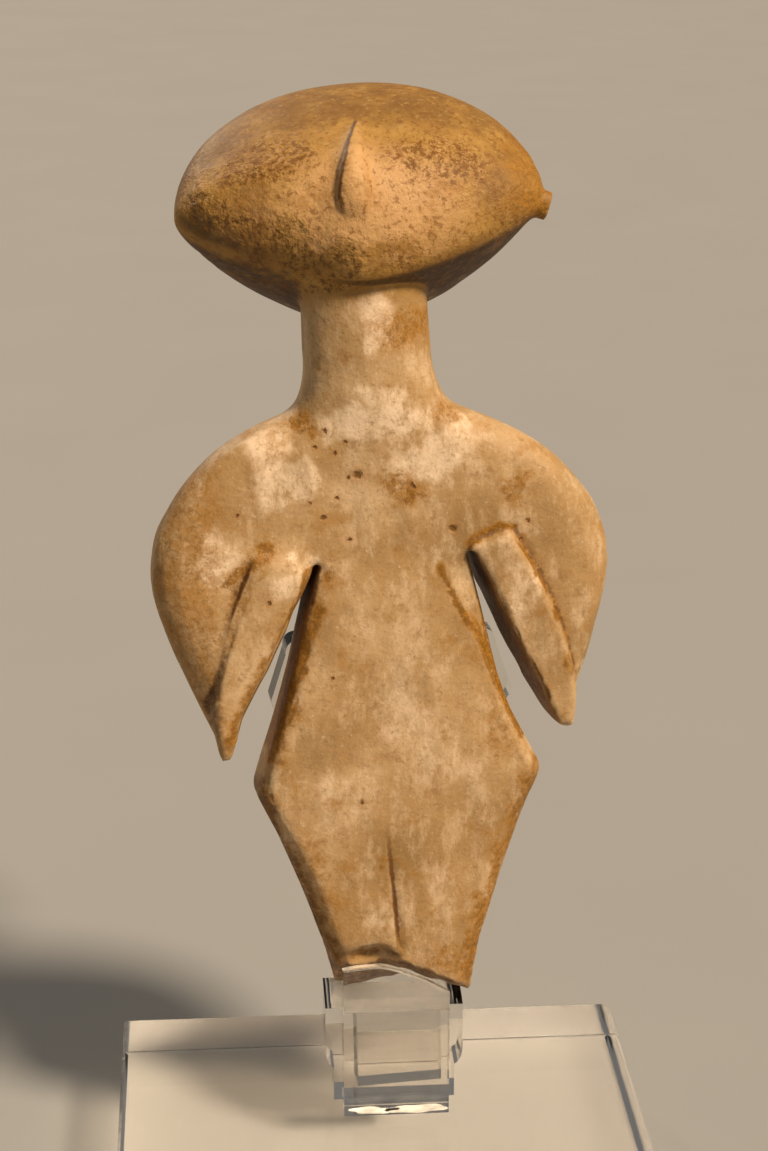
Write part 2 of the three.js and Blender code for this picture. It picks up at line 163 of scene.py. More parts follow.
def stands_out(points, edges, normals):
    """How far each point stands out of the surface around it, in mm. In a hollow it is below 0."""
    around = relax(points, edges, share=0.6, rounds=14)
    return np.einsum("ij,ij->i", points - around, normals) / MM


def read(items, name, width, kind=np.float64):
    """A value of each vertex or edge of a mesh, in rows of width numbers."""
    values = np.empty(len(items) * width, dtype=kind)
    items.foreach_get(name, values)
    return values.reshape(-1, width)


def set_points(mesh, points):
    mesh.vertices.foreach_set("co", points.ravel())
    mesh.update()


def put_in_scene(name, data):
    """A new object of this name and data, linked to the scene."""
    obj = bpy.data.objects.new(name, data)
    bpy.context.scene.collection.objects.link(obj)
    return obj


def applied(obj):
    """The mesh that an object's modifiers make, with the modifiers taken off."""
    made = bpy.data.meshes.new_from_object(obj.evaluated_get(bpy.context.evaluated_depsgraph_get()))
    obj.modifiers.clear()
    old, obj.data = obj.data, made
    bpy.data.meshes.remove(old)
    return made


carving = put_in_scene("carved_figurine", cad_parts["figurine"].data.copy())
skin = carving.modifiers.new("skin", "REMESH")
skin.mode = "VOXEL"
skin.voxel_size = VOXEL
mesh = applied(carving)

# Left and right are as one faces the figure. Heights z on the body are in mm: the break up to 9,
# the hips 36, the elbows 40, the hands 66 to 70, the shoulders up to 95 and the neck to 105.
# lines on the front, top down, as (x, z) on the body's own axes
LEFT_GROOVE = [(-18.4, 68.2), (-20.4, 64.4), (-22.2, 60.5), (-24.2, 55.5), (-25.9, 50.5), (-27.2, 47.6)]
LEFT_RIDGE = [(-14.5, 68), (-16.7, 59.9), (-19.5, 55.3), (-21.8, 50.9), (-24.1, 46.4), (-25.4, 42)]
LEFT_HAND_EDGE = [(-11, 66.9), (-14.2, 60.6), (-16.8, 55.5), (-20.8, 47.9), (-22.6, 44.5), (-24.1, 40.9)]
LEFT_HAND_TOP = [(-17.1, 69.3), (-21.7, 66.8), (-23.8, 65.2)]
LEFT_BEVEL = [(-8.4, 67.7), (-10.8, 58.8), (-13.8, 50.1), (-18.4, 38.4)]
LEFT_LEG_EDGE = [(-20.6, 33), (-17.8, 25), (-15, 17.5), (-12.4, 9), (-10.6, 2)]
LEG_LINE = [(-2.4, 32), (-2, 23.5), (-1.5, 13.7), (-1.2, 4)]
RIGHT_GROOVE = [(18.6, 70.1), (21.3, 65.2), (23.6, 59.8), (25.6, 53.6), (27.1, 47.6), (27.6, 44.2)]
RIGHT_FLECKS = [
    (18.8, 69.8), (19.6, 67.9), (21.9, 63), (22.9, 60), (24, 57.3), (25, 53.5), (26.4, 47.4),
]
RIGHT_HAND_EDGE = [(13.2, 65.7), (17.3, 54), (20.6, 46), (23.6, 40)]
RIGHT_HAND_END = [(18.2, 70.4), (14.2, 69.8), (11.8, 68.4)]
RIGHT_BEVEL = [(7.2, 65.5), (9.6, 60), (12.4, 53.7), (15.9, 45.5), (19, 38)]
RIGHT_LEG_EDGE = [(20.8, 33), (17.6, 25), (14.8, 17.5), (11.6, 9), (8.6, -1)]
# lines on the face, as (x, y) on the head's own axes, and the nose's rise as (rise, y)
NOSE_LEFT = [(0.5, 7.2), (0.1, 5.6), (-0.8, 1.5), (-1.6, -2.4), (-2.5, -5.4), (-2.9, -7.2), (-2.3, -8.6)]
NOSE_RIGHT = [(0.6, 7.2), (0.3, 2), (0.1, -3), (0.3, -6.5), (-0.4, -8.8)]
NOSE_RISE = [(0, 7.4), (0.3, 5.5), (0.55, 2), (0.75, -2), (0.85, -5.5), (0.6, -7.6), (0, -9.2)]
WORN_RIM = [
    (-23.2, 1), (-21.4, -2.2), (-18.1, -5.2), (-14.4, -7.2), (-10, -9.1), (-5.7, -11.6), (-1.3, -13.2),
]

# the form: first the voxels' steps are smoothed away everywhere, then the facets of the skull,
# the shoulders and the left hand are rounded, and the ear lug and all else stay crisp
points = read(mesh.vertices, "co", 3)
edges = read(mesh.edges, "vertices", 2, np.int64)
points = relax(points, edges, share=0.5, rounds=6)
body, head = on_axes(points)
x, y, z = body.T
u, v, w = head.T
skull = step(104.5, 107, z + NECK_SLANT * y)
ear_lug = step(23.5, 25, u)
shoulders = band(z, (72, 76), (97, 95))
left_hand = patch(x, z, (-14.5, 68.5), (6, 3.2)) * step(-2, -4, y)
rounded = np.clip(skull * (1 - ear_lug) + shoulders + left_hand, 0, 1)
points = relax(points, edges, share=0.5 * rounded, rounds=110)
set_points(mesh, points)

# The finer relief, as a rise along the surface's normals in mm. The hand-ground surface is never
# quite flat, and its edges are worn and knocked. Waves, crumbs and lumps are layers for waves().
GROUND_WAVES = [(13, 0.10, 1), (5.5, 0.06, 2), (2.6, 0.03, 8)]
EDGE_WEAR, EDGE_KNOCKS = 0.10, 0.22
LEFT_GROOVE_DEPTH, RIGHT_GROOVE_DEPTH, LEG_LINE_DEPTH = 0.30, 0.14, 0.20
FACET_WIDTH, FACET_SLOPE = 4, 0.26
CRUSTED = [((-14.5, 1), (10.5, 5)), ((11, -1.5), (11, 5)), ((5, -11.5), (5, 3))]
CRUST_DEPTH, RIM_WEAR, CRUMBS = 0.03, 0.08, [(1.3, 1, 3), (0.75, 0.7, 4)]
BREAK_DEPTH, BREAK_LUMPS = 0.28, [(2.3, 0.22, 5), (0.9, 0.10, 6)]

normals = read(mesh.vertex_normals, "vector", 3)
arris = step(0.05, 0.14, stands_out(points, edges, normals))
body, head = on_axes(points)
x, y, z = body.T
u, v, w = head.T
front = step(-1.5, -3.5, y)
face = skull * step(0, 2, w)
rise = waves(body, GROUND_WAVES)
knocks = step(0.1, 0.6, lumps(body, 2.4, 7))
rise -= arris * (1 - skull) * (EDGE_WEAR + EDGE_KNOCKS * knocks)
# the grooves along the forearms, the left one fading towards the hand, and the leg line
rise -= LEFT_GROOVE_DEPTH * front * near(x, z, LEFT_GROOVE, 0.8, 0.15) * step(69, 58, z)
rise -= RIGHT_GROOVE_DEPTH * front * near(x, z, RIGHT_GROOVE, 0.7, 0.15)
rise -= LEG_LINE_DEPTH * front * near(x, z, LEG_LINE, 0.55, 0.1) * band(z, (3, 10), (31, 15))
# the left forearm falls away in a facet, from a ridge along it to the slit
past_ridge = np.clip(right_of(x, z, LEFT_RIDGE), 0, FACET_WIDTH)
past_ridge *= step(1, 0.2, right_of(x, z, LEFT_HAND_EDGE)) * step(0, -1, x)
rise -= FACET_SLOPE * past_ridge * front * band(z, (39, 44), (64, 58))
# the nose: a long flat-faced wedge, sheer on its left and running out into the face on its right
left_side = right_of(u, v, NOSE_LEFT)
right_side = right_of(u, v, NOSE_RIGHT)
wedge = step(-0.4, 0.05, left_side) * step(1.9, -0.2, right_side)
foot_of_wedge = 0.3 * step(-3.5, 0, left_side) * step(0.5, 0, left_side)
rise += face * np.maximum(wedge, foot_of_wedge) * across_at(v, NOSE_RISE)
# the face's crust: scabby left and right of the nose and along the worn lower left rim
scabs = skull * patches(u, v, CRUSTED)
rim = skull * near(u, v, WORN_RIM, 2.6, 0.6)
rise -= (CRUST_DEPTH * scabs + RIM_WEAR * rim) * (0.5 + waves(body, CRUMBS))
# the snapped end
broken = step(9.5, 4.5, z) * step(0.2, -0.5, normals @ BODY_AXES[:, 2])
rise -= broken * (BREAK_DEPTH + waves(body, BREAK_LUMPS))
points = points + normals * (rise * MM)[:, None]
points = relax(points, edges, share=0.35, rounds=1)
set_points(mesh, points)

thin = carving.modifiers.new("thin", "DECIMATE")
thin.ratio = min(1, MOST_TRIANGLES / (2 * len(mesh.polygons)))
mesh = applied(carving)
mesh.polygons.foreach_set("use_smooth", np.ones(len(mesh.polygons), dtype=bool))

# what the stone's finish follows, kept on the skin: its place in mm, and how much of each stain, crust and
# soil it bears; the stain, soil and underside fields also carry painted shade
points = read(mesh.vertices, "co", 3)
normals = read(mesh.vertex_normals, "vector", 3)
edges = read(mesh.edges, "vertices", 2, np.int64)
body, head = on_axes(points)
x, y, z = body.T
u, v, w = head.T
facing = normals @ BODY_AXES
front = step(-1.2, -3, y)
skull = step(101, 105, z + NECK_SLANT * y)
face = skull * step(0, 2, w)
bulge = stands_out(points, edges, normals) * (1 - 0.6 * skull)
left_side = right_of(u, v, NOSE_LEFT)
right_side = right_of(u, v, NOSE_RIGHT)
beside_nose = face * band(v, (-8.9, -7.9), (7.4, 6.2))
nose_face = beside_nose * step(-0.1, 0.5, left_side) * step(1.4, -0.2, right_side)
between_legs = front * band(z, (5, 11), (29.5, 19))

# Stains and crust run ragged, so they are laid out at places shaken by up to 1.7 mm: sx, sz and
# su, sv. Thin lines take hx, hz, shaken less, and the milky clouds mx, mz, shaken 2.4 mm more.
THIN_LINE_SHAKE = 0.45
shake = [waves(body, [(2.4, 1.1, 20 + axis), (1.1, 0.6, 30 + axis)]) for axis in range(3)]
shake = np.stack(shake, axis=1)
sx, _, sz = (body + shake).T
su, sv, _ = (head + shake).T
hx, _, hz = (body + THIN_LINE_SHAKE * shake).T
mx = sx + waves(body, [(5.5, 2.4, 41)])
mz = sz + waves(body, [(5.5, 2.4, 42)])

# the walls of the slits between body and arms: they face sideways and lie off the middle, but
# inside the arms' outer sides, which lean outwards as they go down
slit = step(0.35, 0.65, np.abs(facing[:, 0])) * band(z, (36, 40), (70, 67)) * step(8, 10, np.abs(x))
lean = 0.08 * (60 - z)
slit *= 1 - step(22.5 + lean, 24.5 + lean, np.abs(x))
# faces turned left look away from the key lamp, and painted shade is laid on them below
turned_left = step(-0.2, -0.5, facing[:, 0])
slit_soil_and_painted_shade = np.where(x > 0, 0.8, 0.15 + 0.85 * step(56, 63, sz))
soil_and_painted_shade = np.maximum.reduce([
    # soil in the grooves, and on the slits' walls soil and painted shade where they face left, away from
    # the key lamp
    front * near(x, z, LEFT_GROOVE, 0.9, 0.15) * step(60, 49, z),
    0.5 * front * near(x, z, RIGHT_GROOVE, 0.6, 0.1),
    0.95 * slit * turned_left * step(34, 44, z) * slit_soil_and_painted_shade,
    # soil in every hollow and on the left elbow; painted shade on the break's downward faces and down the
    # left-facing side of the legs
    0.8 * step(-0.03, -0.14, bulge),
    0.8 * front * patch(sx, sz, (-26.6, 46.5), (2.4, 6)),
    0.85 * step(0.1, -0.4, facing[:, 2]) * step(9.5, 4.5, z),
    0.75 * turned_left * near(sx, sz, LEFT_LEG_EDGE, 3, 0.6),
])

# ochre stain along lines: its share, where it lies (1 is all round), the line, and how far from
# it there is none and it is full, in mm
flecked = step(-0.1, 0.3, lumps(body, 2.2, 51))
streaked = 0.4 + 0.6 * step(-0.3, 0.3, lumps(body, 3, 52))
thin_stains = [
    (0.30, front, RIGHT_GROOVE, 1.6, 0.3),
    (1.00, front * flecked, RIGHT_FLECKS, 1.1, 0.3),
    (1.00, front, RIGHT_HAND_END, 1.3, 0.3),
    (1.00, front, RIGHT_BEVEL, 1.1, 0.3),
    (0.90, front, LEFT_HAND_TOP, 1.8, 0.3),
]
broad_stains = [
    (0.60, front, LEFT_GROOVE, 2.2, 0.3),
    (0.95, front * streaked, LEFT_BEVEL, 2.4, 0.3),
    (0.45, front * step(28, 16, z), LEG_LINE, 1.6, 0.2),
    (0.85, front, RIGHT_LEG_EDGE, 4.4, 0.6),
    # the band down the left leg edge is partly painted shade on the side turned away from the key lamp
    (0.85, 1, LEFT_LEG_EDGE, 2.8, 0.3),
    (0.95, front * step(66, 57, z), LEFT_HAND_EDGE, 3, 0.4),
    (0.85, front * step(66, 56, z), RIGHT_HAND_EDGE, 2.6, 0.3),
]
# and in spots on the front: middle, reach and share
STAIN_SPOTS = [
    ((1.4, 78.6), (4, 3), 0.75), ((3.2, 76), (4, 3.2), 0.85), ((-11.5, 87.4), (4, 2.4), 0.80),
    ((-15, 85.2), (4, 3), 0.55), ((9.5, 87.5), (4.5, 3), 0.70), ((19, 76.5), (4, 3.5), 0.70),
    ((25, 83), (9, 6), 0.60), ((-21.5, 66), (3, 4), 0.50), ((15.5, 40), (5, 9), 0.60),
    ((12.5, 52), (3.5, 4), 0.50), ((6, 4), (7, 5), 0.65), ((-2, 20.8), (2.8, 0.8), 0.80),
]
stain = np.maximum.reduce([
    *(share * where * near(hx, hz, line, none, full) for share, where, line, none, full in thin_stains),
    *(share * where * near(sx, sz, line, none, full) for share, where, line, none, full in broad_stains),
    front * patches(sx, sz, STAIN_SPOTS),
    0.95 * front * patch(hx, hz, (-17.2, 69.8), (2.4, 2)),
    # the slits' walls and both arms' outer sides are stained; on the neck's right side a painted shadow of
    # the head, and over most of the left arm painted shade
    0.95 * slit,
    0.75 * patch(sx, sz, (4.5, 100.5), (8, 5)) * step(107, 102, z),
    0.55 * step(29, 33, np.abs(sx)) * step(92, 78, z),
    0.62 * step(-19, -27, sx),
    # the legs' stain, with painted shade on their left, stain in every slight hollow and on the right end
    # of the head
    0.62 * front * step(-6, -13, sx) * step(34, 22, z),
    0.30 * front * step(28, 12, z),
    0.60 * step(-0.01, -0.06, bulge),
    0.75 * skull * step(17, 25, su),
])

# the head's crust and worn rim, painted shade over its crown and right end and, with soil, on its
# underside, and the paler lower face
CRUST = [
    ((-12.5, 1.5), (14, 7.5)), ((12, -1), (13.5, 8)), ((20, -4), (6, 6), 0.8),
    ((5.5, -11.5), (5, 2.6), 0.8),
]
scabs = np.maximum(patches(su, sv, CRUST), 0.7 * near(su, sv, WORN_RIM, 4, 1))
scabs *= skull * step(-4, -1, w)
rim = skull * near(su, sv, WORN_RIM, 2.8, 0.5)
rim_height = np.interp(su, *zip(*WORN_RIM))
# painted shade: the top of the head and its right end are darkened
painted_shade_on_head = skull * np.maximum(step(2, 8, sv), 0.8 * step(11, 20, su))
pale_face = face * patch(su, sv, (1, -6.5), (20, 10.5)) * step(-0.5, 2.5, sv - rim_height)
# painted shade, with some soil: faces turned down and away from the face, and the face's lower left below
# the worn rim
under_chin = skull * np.maximum(
    step(0.05, -0.35, facing @ HEAD_AXES[:, 2]) * step(0.3, -0.2, facing[:, 1]),
    0.85 * face * step(0.2, 2.4, rim_height - sv) * step(5, -3, su),
)

# where the marble is milkier, more so on the chest: middle and reach
MILKY = [
    ((9.5, 83), (7, 6)), ((-16, 84), (7, 4)), ((-12.5, 66), (6, 3.5)), ((1, 44), (9, 10)),
    ((6, 36), (8, 8)), ((-6, 31), (9, 8)), ((2, 87), (10, 5)), ((-3, 13), (7, 5)),
    ((5, 17), (6, 7)), ((-1, 103), (5, 5)), ((-23, 70), (5, 7)), ((6, 80.5), (8, 5)),
    ((-13, 79), (8, 5)), ((-4, 86), (7, 4)), ((18, 61), (3, 7)), ((-1, 91), (7, 5)),
]
milky = front * patches(mx, mz, MILKY) * (0.6 + 0.4 * step(50, 72, z))

fields = {
    "skull": skull, "stain": stain, "soil_and_painted_shade": soil_and_painted_shade, "scabs": scabs, "rim": rim, "under_chin": under_chin,
    "milky": milky, "painted_shade_on_head": painted_shade_on_head, "face": face, "pale_face": pale_face,
    "bulge": bulge, "leg_line": right_of(x, z, LEG_LINE), "between_legs": between_legs,
    "nose_edge": left_side, "beside_nose": beside_nose, "nose_face": nose_face,
}
for name, values in fields.items():
    mesh.attributes.new(name, "FLOAT", "POINT").data.foreach_set("value", values.astype(np.float32))
places = mesh.attributes.new("place", "FLOAT_VECTOR", "POINT")
places.data.foreach_set("vector", body.astype(np.float32).ravel())


def linear(hex_colour):
    """An sRGB hex colour as linear RGBA."""
    shares = [int(hex_colour[i:i + 2], 16) / 255 for i in (0, 2, 4)]
    return (*(s / 12.92 if s <= 0.04045 else ((s + 0.055) / 1.055) ** 2.4 for s in shares), 1.0)


def cleared(block):
    """The node tree of a new material or world, with nothing in it."""
    block.use_nodes = True
    block.node_tree.nodes.clear()
    return block.node_tree


def add(tree, kind, settings, **links):
    """Adds one node and gives its first output. A setting is a property, or an input by name or
    number. A link names an input (in_0 for number 0) and gives the output it takes."""
    made = tree.nodes.new(kind)
    for name, value in settings.items():
        if name == "stops":
            ramp = made.color_ramp.elements
            ramp.remove(ramp[1])
            for position, colour in value:
                ramp.new(position).color = linear(colour)
            ramp.remove(ramp[0])
        elif isinstance(name, str) and hasattr(made, name):
            setattr(made, name, value)
        else:
            made.inputs[name].default_value = value
    for name, output in links.items():
        socket = int(name[3:]) if name.startswith("in_") else name.replace("_", " ")
        tree.links.new(output, made.inputs[socket])
    return made.outputs[0] if made.outputs else made


# Fine-grained white marble, ground with abrasives, buried and hand-worn: a satin surface over
# a slightly cloudy body, honey patina, ochre soil in every groove, pit and scar.
# Shade is painted into its colour in places: under the chin, over the crown, on the neck, the left arm and
# legs, the break, the slits and beside the nose.
marble = bpy.data.materials.new("buried_white_marble")
tree = cleared(marble)
on_skin = {
    name: add(tree, "ShaderNodeAttribute", {"attribute_name": name}).node.outputs["Fac"] for name in fields
}
place = add(tree, "ShaderNodeAttribute", {"attribute_name": "place"}).node.outputs["Vector"]
upright = add(tree, "ShaderNodeMapping", {"Scale": (1, 1, 0.45)}, Vector=place)
crosswise = add(tree, "ShaderNodeMapping", {"Scale": (0.25, 1, 1), "Rotation": (0, 0.1, 0)}, Vector=place)

# how much more noise a blotch takes to show where its field has faded out: it tears the edge
RAGGED = 0.25


def wash(under, colour, size, low, high, share, field=None, at=place, wild=0.65):
    """Lays a colour over the stone in blotches size mm across: none where their noise is at low,
    its share where it is at high, and only as far as a field on the skin lets it."""
    noise = {"Scale": 1 / size, "Detail": 6, "Roughness": wild}
    blotch = add(tree, "ShaderNodeTexNoise", noise, Vector=at)
    fade = {"interpolation_type": "SMOOTHSTEP", "From Min": low, "From Max": high, "To Max": share}
    if field:
        torn = {"operation": "MULTIPLY_ADD", 1: RAGGED}
        blotch = add(tree, "ShaderNodeMath", torn, in_0=on_skin[field], in_2=blotch)
        fade |= {"From Min": low + RAGGED, "From Max": high + RAGGED}
    cover = add(tree, "ShaderNodeMapRange", fade, Value=blotch)
    if field:
        cover = add(tree, "ShaderNodeMath", {"operation": "MULTIPLY"}, in_0=cover, in_1=on_skin[field])
    return add(tree, "ShaderNodeMixRGB", {"Color2": linear(colour)}, Fac=cover, Color1=under)


# the body's cloudy stone: 16 mm clouds, milky streaks, grey and brown mottling, crystal specks
cloud = add(tree, "ShaderNodeTexNoise", {"Scale": 1 / 16, "Detail": 4}, Vector=place)
tones = [(0.32, "9C7A4A"), (0.5, "B28D5C"), (0.68, "C8A679")]
stone = add(tree, "ShaderNodeValToRGB", {"stops": tones}, Fac=cloud)
stone = wash(stone, "DDBF98", 3.6, 0.46, 0.66, 0.60, at=upright, wild=0.72)
stone = wash(stone, "EFD2AE", 3.0, 0.28, 0.55, 0.95, "milky", at=upright, wild=0.75)
stone = wash(stone, "93744A", 6.5, 0.50, 0.70, 0.50, at=upright, wild=0.7)
stone = wash(stone, "987040", 2.4, 0.52, 0.70, 0.50, wild=0.7)
stone = wash(stone, "86622F", 0.6, 0.53, 0.70, 0.38)
stone = wash(stone, "EAD6B6", 0.7, 0.60, 0.72, 0.38)
# the head lay in other soil: a deeper orange-brown patina all over it, with 7 mm clouds
cloud = add(tree, "ShaderNodeTexNoise", {"Scale": 1 / 7, "Detail": 5, "Roughness": 0.6}, Vector=place)
tones = [(0.3, "845A20"), (0.5, "A0752E"), (0.7, "B98E44")]
patina = add(tree, "ShaderNodeValToRGB", {"stops": tones}, Fac=cloud)
cover = add(tree, "ShaderNodeMath", {"operation": "MULTIPLY", 1: 0.9}, in_0=on_skin["skull"])
stone = add(tree, "ShaderNodeMixRGB", {}, Fac=cover, Color1=stone, Color2=patina)
# soil and painted shade under the chin and below the worn rim
stone = wash(stone, "35220F", 3.0, 0.15, 0.45, 0.92, "under_chin")
# painted shade over the crown and the head's right end
stone = wash(stone, "6E4C1E", 4.0, 0.25, 0.60, 0.65, "painted_shade_on_head")
stone = wash(stone, "CEA06A", 3.0, 0.10, 0.50, 0.80, "pale_face", wild=0.7)
stone = wash(stone, "9E6B20", 5.5, 0.55, 0.68, 0.45)
stone = wash(stone, "C69C5E", 0.9, 0.54, 0.68, 0.50, "face", wild=0.7)
stone = wash(stone, "7C4E12", 1.0, 0.53, 0.60, 0.65, "skull", wild=0.75)
# ochre stain and painted shade, the crust's flecks and polished high spots, and soil and painted shade
stone = wash(stone, "A06C19", 1.4, 0.24, 0.50, 1.0, "stain", wild=0.8)
stone = wash(stone, "764E0E", 0.8, 0.41, 0.51, 0.80, "stain", wild=0.8)
stone = wash(stone, "8F6220", 2.6, 0.42, 0.66, 0.55, "scabs")
stone = wash(stone, "C2965A", 0.8, 0.48, 0.62, 0.55, "scabs", wild=0.7)
stone = wash(stone, "744808", 0.9, 0.475, 0.54, 0.92, "scabs", wild=0.8)
stone = wash(stone, "654210", 1.0, 0.47, 0.58, 0.70, "rim", wild=0.78)
stone = wash(stone, "D2A468", 1.5, 0.25, 0.55, 0.45, "nose_face")
stone = wash(stone, "5A3613", 1.1, 0.26, 0.52, 0.95, "soil_and_painted_shade", wild=0.7)
# edges and bumps that stand out by 0.05 to 0.22 mm are rubbed pale
rubbed = add(
    tree, "ShaderNodeMapRange", {"From Min": 0.05, "From Max": 0.22, "To Max": 0.30},
    Value=on_skin["bulge"],
)
stone = add(tree, "ShaderNodeMixRGB", {"Color2": linear("EBD2AA")}, Fac=rubbed, Color1=stone)

# a hairline cut packed with soil between the legs, and a painted shadow line along the nose's left edge.
# Noise of 0.8 mm, which averages half of SWAY, makes them wander.
SWAY = 0.5
sway = add(tree, "ShaderNodeTexNoise", {"Scale": 1.3, "Detail": 3}, Vector=place)
for dark_line, field, half_width in (("leg_line", "between_legs", 0.30), ("nose_edge", "beside_nose", 0.24)):
    swayed = {"operation": "MULTIPLY_ADD", 1: SWAY}
    off = add(tree, "ShaderNodeMath", swayed, in_0=sway, in_2=on_skin[dark_line])
    off = add(tree, "ShaderNodeMath", {"operation": "ADD", 1: -SWAY / 2}, in_0=off)
    off = add(tree, "ShaderNodeMath", {"operation": "ABSOLUTE"}, in_0=off)
    fade = {"From Min": half_width * 1.6, "From Max": half_width * 0.5, "To Max": 0.9}
    cover = add(tree, "ShaderNodeMapRange", {"interpolation_type": "SMOOTHSTEP", **fade}, Value=off)
    cover = add(tree, "ShaderNodeMath", {"operation": "MULTIPLY"}, in_0=cover, in_1=on_skin[field])
    stone = add(tree, "ShaderNodeMixRGB", {"Color2": linear("5E3A14")}, Fac=cover, Color1=stone)

# single pits, each left by a lost crystal and now full of soil: x, y, z and radius in mm
PITS = [
    (-8.1, -5.4, 86.4, 0.35), (-5.3, -5.8, 84.6, 0.3), (-9.6, -5.3, 84.2, 0.3), (-7.0, -5.5, 83.2, 0.35),
    (-3.8, -5.5, 79.7, 0.65), (-5.1, -5.4, 79.4, 0.3), (4.1, -5.3, 77.4, 0.45), (-6.8, -5.3, 76.6, 0.25),
    (-10.8, -5.3, 76.1, 0.25), (-8.9, -5.3, 73.9, 0.45), (-5.4, -5.3, 70.5, 0.35), (9.6, -5.3, 70.7, 0.55),
    (20.6, -5.3, 70.8, 0.35), (19.5, -5.3, 68.3, 0.4), (-21.2, -5.3, 75.3, 0.3), (-17.6, -6.3, 62.5, 0.4),
    (-9.0, -5.4, 50.1, 0.25), (-5.7, -5.3, 30.5, 0.35), (1.5, -7.9, 105.2, 0.6), (2.9, -7.6, 104.6, 0.45),
]
# each outline is shaken by 1.5 mm noise, which averages half of SHAKE
SHAKE = 1.3
ragged = add(tree, "ShaderNodeTexNoise", {"Scale": 1 / 1.5, "Detail": 4, "Roughness": 0.7}, Vector=place)
ragged = ragged.node.outputs["Color"]
shaken = add(
    tree, "ShaderNodeVectorMath", {"operation": "MULTIPLY_ADD", 1: (SHAKE, SHAKE, SHAKE)},
    in_0=ragged, in_2=place,
)
nearest = None
for *spot, radius in PITS:
    middle = tuple(c + SHAKE / 2 for c in spot)
    away = add(tree, "ShaderNodeVectorMath", {"operation": "DISTANCE", 1: middle}, in_0=shaken)
    away = away.node.outputs["Value"]
    away = add(tree, "ShaderNodeMath", {"operation": "DIVIDE", 1: radius}, in_0=away)
    if nearest is None:
        nearest = away
    else:
        nearest = add(tree, "ShaderNodeMath", {"operation": "MINIMUM"}, in_0=away, in_1=nearest)
pit = add(tree, "ShaderNodeMapRange", {"From Min": 1.2, "From Max": 0.5}, Value=nearest)
halo = add(tree, "ShaderNodeMapRange", {"From Min": 2.6, "From Max": 1.0, "To Max": 0.45}, Value=nearest)
stone = add(tree, "ShaderNodeMixRGB", {"Color2": linear("AA7436")}, Fac=halo, Color1=stone)
stone = add(tree, "ShaderNodeMixRGB", {"Color2": linear("76501F")}, Fac=pit, Color1=stone)

# relief too fine for the mesh, as size, height, field and place in mm: crystal grain, grinding
# waves, strokes across, the head's roughness, its crust and its worn rim, on top of the pits
PIT_DEPTH = 0.22
FINE_RELIEF = [
    (0.42, 0.06, None, place), (2.6, 0.20, None, place), (0.9, 0.03, None, crosswise),
    (0.8, 0.17, "skull", place), (0.6, 0.22, "scabs", place), (0.7, 0.34, "rim", place),
]
relief = add(tree, "ShaderNodeMath", {"operation": "MULTIPLY", 1: -PIT_DEPTH}, in_0=pit)
for size, height, field, at in FINE_RELIEF:
    bumps = add(tree, "ShaderNodeTexNoise", {"Scale": 1 / size, "Detail": 3, "Roughness": 0.6}, Vector=at)
    if field:
        bumps = add(tree, "ShaderNodeMath", {"operation": "MULTIPLY"}, in_0=bumps, in_1=on_skin[field])
    relief = add(tree, "ShaderNodeMath", {"operation": "MULTIPLY_ADD", 1: height}, in_0=bumps, in_2=relief)
bump = add(tree, "ShaderNodeBump", {"Strength": 1.0, "Distance": MM}, Height=relief)
# satin, with glossier and duller clouds 3 mm across where hands and soil have rubbed it
rubbing = add(tree, "ShaderNodeTexNoise", {"Scale": 1 / 3, "Detail": 4}, Vector=place)
gloss = add(tree, "ShaderNodeMapRange", {"To Min": 0.46, "To Max": 0.74}, Value=rubbing)
light_goes_in = {
    "Subsurface Weight": 0.10, "Subsurface Radius": (1.0, 0.6, 0.35), "Subsurface Scale": 0.8 * MM,
}
stone = add(
    tree, "ShaderNodeBsdfPrincipled", {"IOR": 1.55, "Specular IOR Level": 0.3, **light_goes_in},
    Base_Color=stone, Roughness=gloss, Normal=bump,
)
add(tree, "ShaderNodeOutputMaterial", {}, Surface=stone)
mesh.materials.clear()
mesh.materials.append(marble)
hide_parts("figurine")
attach(carving, "root")

# ------------------------------------------------------------------------------------
# Acrylic mount. A thick plate, a seat, a lip and a back rest, sawn from cast acrylic sheet
# (PMMA), flame-polished on the cut edges and cemented to the plate.
# ------------------------------------------------------------------------------------
PLATE_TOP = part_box("base_plate")[1][2]
# flame polishing has rounded every edge sharper than this
EDGE_ROUND, ROUNDED_FROM = 0.25 * MM, math.radians(40)

# Cast acrylic, clear: bright faces with hairline scratches and a little dust, and the plate's
# sawn sides left satin, so that they take the light as pale bands.
acrylic = bpy.data.materials.new("clear_cast_acrylic")
tree = cleared(acrylic)
metres = add(tree, "ShaderNodeTexCoord", {}).node.outputs["Object"]
place = add(tree, "ShaderNodeVectorMath", {"operation": "SCALE", "Scale": 1 / MM}, in_0=metres)
# satin on what faces sideways, below the plate's top
level = add(tree, "ShaderNodeSeparateXYZ", {}, Vector=place).node.outputs["Z"]
facing = add(tree, "ShaderNodeNewGeometry", {}).node.outputs["Normal"]
facing = add(tree, "ShaderNodeSeparateXYZ", {}, Vector=facing).node.outputs["Z"]
facing = add(tree, "ShaderNodeMath", {"operation": "ABSOLUTE"}, in_0=facing)
satin = add(tree, "ShaderNodeMapRange", {"From Min": 0.6, "From Max": 0.3, "To Max": 0.07}, Value=facing)
low = add(tree, "ShaderNodeMath", {"operation": "LESS_THAN", 1: PLATE_TOP / MM - 0.1}, in_0=level)
satin = add(tree, "ShaderNodeMath", {"operation": "MULTIPLY"}, in_0=satin, in_1=low)
